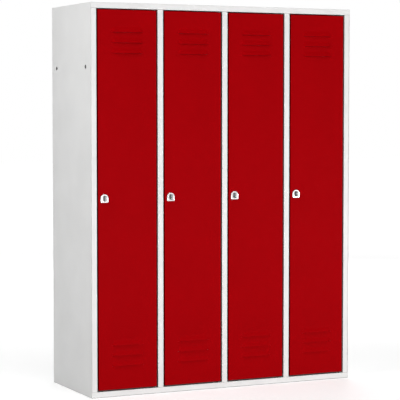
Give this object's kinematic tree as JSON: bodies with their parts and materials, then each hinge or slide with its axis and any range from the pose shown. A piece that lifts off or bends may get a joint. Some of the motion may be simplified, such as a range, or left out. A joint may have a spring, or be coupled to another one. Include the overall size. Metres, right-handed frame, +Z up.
{
  "type": "compartment locker",
  "caption": "Free-standing sheet-steel locker with tall louvred doors on concealed pins, a turning cam lock on each door, and a hat shelf and coat rail in each compartment.",
  "frame": {"origin": "on the floor under the middle of the locker's box, lock grips included", "axes": "+Z up, -Y out of the doors, +X to the right as seen from the front"},
  "size_m": [1.35, 0.5176, 1.8],
  "materials": {
    "body_paint": "pale grey-white powder coat, satin",
    "door_paint": "deep red powder coat, satin",
    "chrome": "bright chrome plate on die casting",
    "zinc_plate": "zinc-plated steel",
    "black_plate": "black nickel plate, satin",
    "nylon": "black moulded nylon"
  },
  "bodies": {
    "carcass": {"left_side_panel": "body_paint", "right_side_panel": "body_paint", "back_panel": "body_paint", "top_panel": "body_paint", "floor_panel": "body_paint", "left_stile": "body_paint", "right_stile": "body_paint", "centre_post_1": "body_paint", "centre_post_2": "body_paint", "centre_post_3": "body_paint", "partition_1": "body_paint", "partition_2": "body_paint", "partition_3": "body_paint", "hat_shelf_1": "body_paint", "hat_shelf_2": "body_paint", "hat_shelf_3": "body_paint", "hat_shelf_4": "body_paint", "coat_rail_1": "zinc_plate", "coat_rail_2": "zinc_plate", "coat_rail_3": "zinc_plate", "coat_rail_4": "zinc_plate", "hinge_bush_1": "nylon", "hinge_bush_2": "nylon", "hinge_bush_3": "nylon", "hinge_bush_4": "nylon"},
    "door_1": {"door_panel_1": "door_paint", "door_stiffener_1": "door_paint", "upper_hinge_pin_1": "black_plate", "lower_hinge_pin_1": "black_plate", "lock_housing_1": "chrome", "lock_nut_1": "zinc_plate"},
    "door_2": {"door_panel_2": "door_paint", "door_stiffener_2": "door_paint", "upper_hinge_pin_2": "black_plate", "lower_hinge_pin_2": "black_plate", "lock_housing_2": "chrome", "lock_nut_2": "zinc_plate"},
    "door_3": {"door_panel_3": "door_paint", "door_stiffener_3": "door_paint", "upper_hinge_pin_3": "black_plate", "lower_hinge_pin_3": "black_plate", "lock_housing_3": "chrome", "lock_nut_3": "zinc_plate"},
    "door_4": {"door_panel_4": "door_paint", "door_stiffener_4": "door_paint", "upper_hinge_pin_4": "black_plate", "lower_hinge_pin_4": "black_plate", "lock_housing_4": "chrome", "lock_nut_4": "zinc_plate"},
    "lock_1": {"lock_grip_1": "black_plate", "lock_cam_1": "zinc_plate"},
    "lock_2": {"lock_grip_2": "black_plate", "lock_cam_2": "zinc_plate"},
    "lock_3": {"lock_grip_3": "black_plate", "lock_cam_3": "zinc_plate"},
    "lock_4": {"lock_grip_4": "black_plate", "lock_cam_4": "zinc_plate"}
  },
  "joints": [
    {"name": "door_hinge_1", "type": "hinge", "parent": "carcass", "child": "door_1", "pos_m": [-0.358, -0.2342, 0.9], "axis": [0, 0, 1], "range_deg": [0, 110]},
    {"name": "door_hinge_2", "type": "hinge", "parent": "carcass", "child": "door_2", "pos_m": [-0.0275, -0.2342, 0.9], "axis": [0, 0, 1], "range_deg": [0, 110]},
    {"name": "door_hinge_3", "type": "hinge", "parent": "carcass", "child": "door_3", "pos_m": [0.303, -0.2342, 0.9], "axis": [0, 0, 1], "range_deg": [0, 110]},
    {"name": "door_hinge_4", "type": "hinge", "parent": "carcass", "child": "door_4", "pos_m": [0.6335, -0.2342, 0.9], "axis": [0, 0, 1], "range_deg": [0, 110]},
    {"name": "lock_turn_1", "type": "hinge", "parent": "door_1", "child": "lock_1", "pos_m": [-0.611, -0.2412, 0.912], "axis": [0, 1, 0], "range_deg": [0, 90]},
    {"name": "lock_turn_2", "type": "hinge", "parent": "door_2", "child": "lock_2", "pos_m": [-0.2805, -0.2412, 0.912], "axis": [0, 1, 0], "range_deg": [0, 90]},
    {"name": "lock_turn_3", "type": "hinge", "parent": "door_3", "child": "lock_3", "pos_m": [0.05, -0.2412, 0.912], "axis": [0, 1, 0], "range_deg": [0, 90]},
    {"name": "lock_turn_4", "type": "hinge", "parent": "door_4", "child": "lock_4", "pos_m": [0.3805, -0.2412, 0.912], "axis": [0, 1, 0], "range_deg": [0, 90]}
  ]
}
